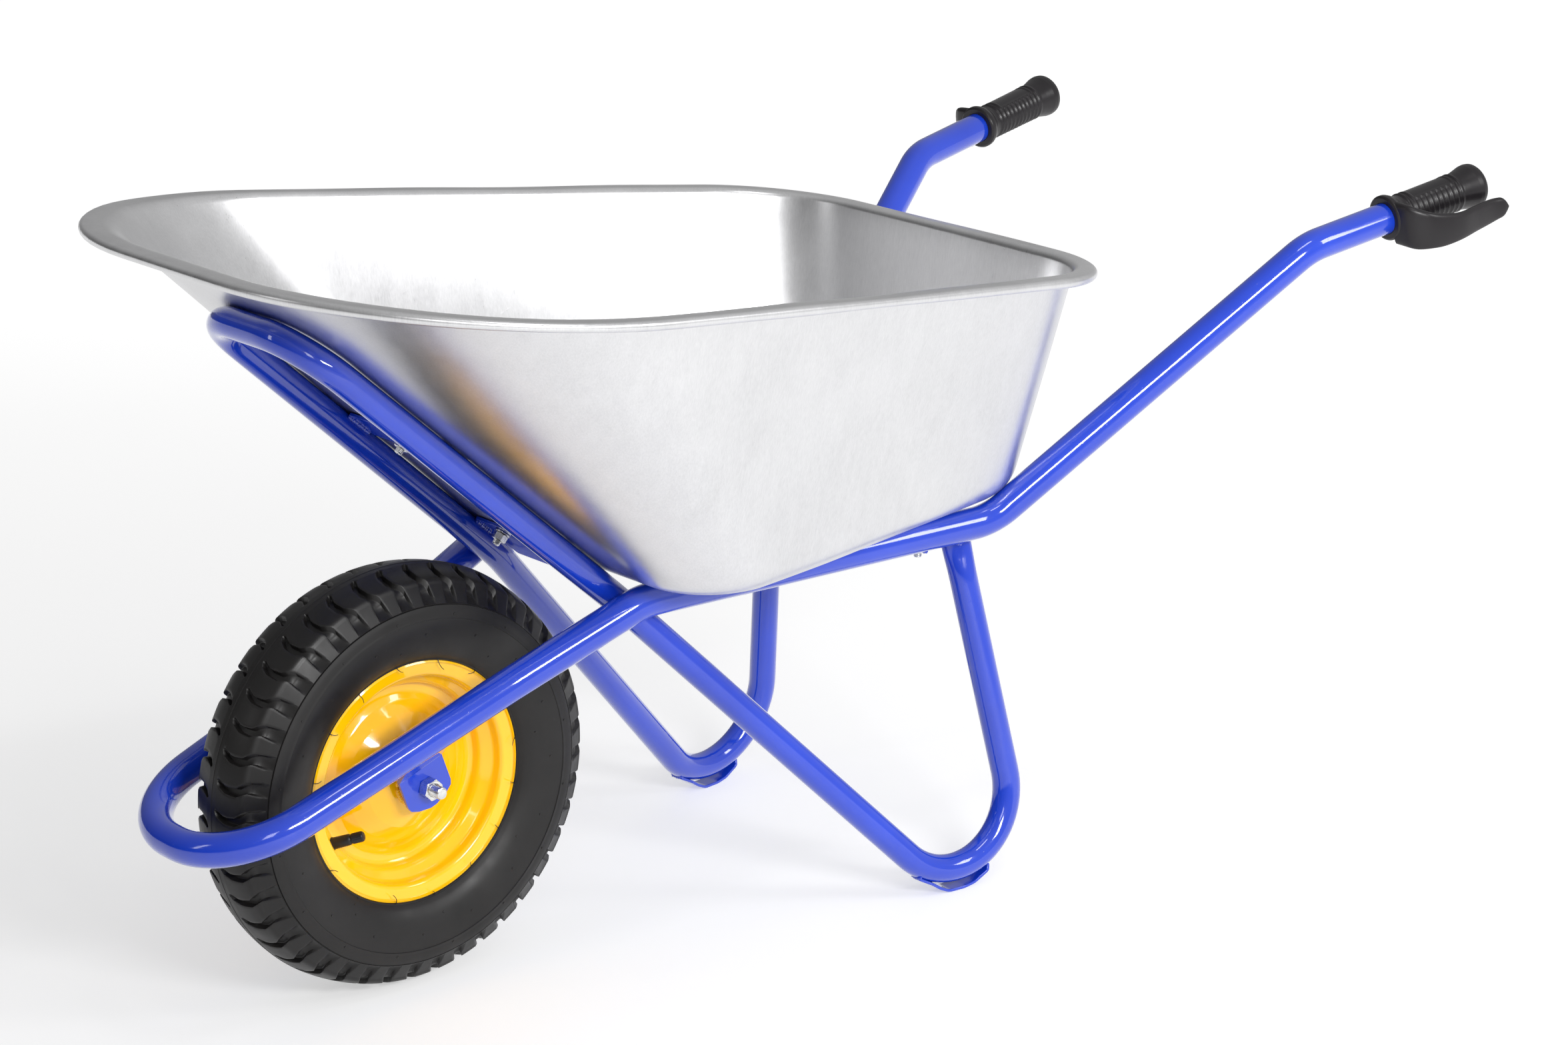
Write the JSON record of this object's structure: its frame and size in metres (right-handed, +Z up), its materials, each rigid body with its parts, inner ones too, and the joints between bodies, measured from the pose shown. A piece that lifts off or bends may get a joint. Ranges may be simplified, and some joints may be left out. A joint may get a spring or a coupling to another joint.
{
  "type": "wheelbarrow",
  "caption": "Single-wheel builder's wheelbarrow with a bent tube frame, a deep drawn sheet steel tray, an air-filled tyre on a pressed disc wheel, and grips with knuckle guards.",
  "frame": {"origin": "on the ground, in the middle of the overall length, on the mid plane", "axes": "+X the way the barrow is pushed (the wheel is at +X), +Y its left side, +Z up"},
  "size_m": [1.3932, 0.6944, 0.7154],
  "materials": {
    "blue_enamel": "gloss",
    "yellow_enamel": "gloss",
    "zinc_sheet": "satin galvanised, fine vertical draw marks",
    "zinc_fasteners": "bright zinc plate",
    "bearing_steel": "ground and polished",
    "tyre_rubber": "satin, moulded",
    "black_rubber": "satin",
    "black_plastic": "semi-gloss"
  },
  "bodies": {
    "frame": {"axle_bolt": "zinc_fasteners", "axle_bracket_left": "blue_enamel", "axle_bracket_right": "blue_enamel", "axle_nut": "zinc_fasteners", "bearing_inner_race_left": "bearing_steel", "bearing_inner_race_right": "bearing_steel", "centre_spacer": "zinc_fasteners", "foot_skid_left": "blue_enamel", "foot_skid_right": "blue_enamel", "front_cross_plate": "blue_enamel", "grip_left": "black_plastic", "grip_right": "black_plastic", "hoop_cross_plate": "blue_enamel", "leg_hoop_tube": "blue_enamel", "main_tube": "blue_enamel", "rear_cross_strap": "blue_enamel", "side_spacer_left": "zinc_fasteners", "side_spacer_right": "zinc_fasteners", "tray": "zinc_sheet", "tray_bolt_front_left": "zinc_fasteners", "tray_bolt_front_right": "zinc_fasteners", "tray_bolt_hoop": "zinc_fasteners", "tray_bolt_rear_left": "zinc_fasteners", "tray_bolt_rear_right": "zinc_fasteners", "tray_nut_front_left": "zinc_fasteners", "tray_nut_front_right": "zinc_fasteners", "tray_nut_hoop": "zinc_fasteners", "tray_nut_rear_left": "zinc_fasteners", "tray_nut_rear_right": "zinc_fasteners", "tray_washer_front_left": "zinc_fasteners", "tray_washer_front_right": "zinc_fasteners", "tray_washer_hoop": "zinc_fasteners", "tray_washer_rear_left": "zinc_fasteners", "tray_washer_rear_right": "zinc_fasteners"},
    "wheel": {"tyre": "tyre_rubber", "inner_tube": "black_rubber", "valve_stem": "black_rubber", "valve_cap": "black_plastic", "rim_half_left": "yellow_enamel", "rim_half_right": "yellow_enamel", "hub": "yellow_enamel", "bearing_outer_race_left": "bearing_steel", "bearing_outer_race_right": "bearing_steel", "bearing_balls_left": "bearing_steel", "bearing_balls_right": "bearing_steel"}
  },
  "joints": [
    {"name": "wheel_spin", "type": "hinge", "parent": "frame", "child": "wheel", "pos_m": [0.44288, 0, 0.2], "axis": [0, 1, 0], "continuous": true}
  ]
}
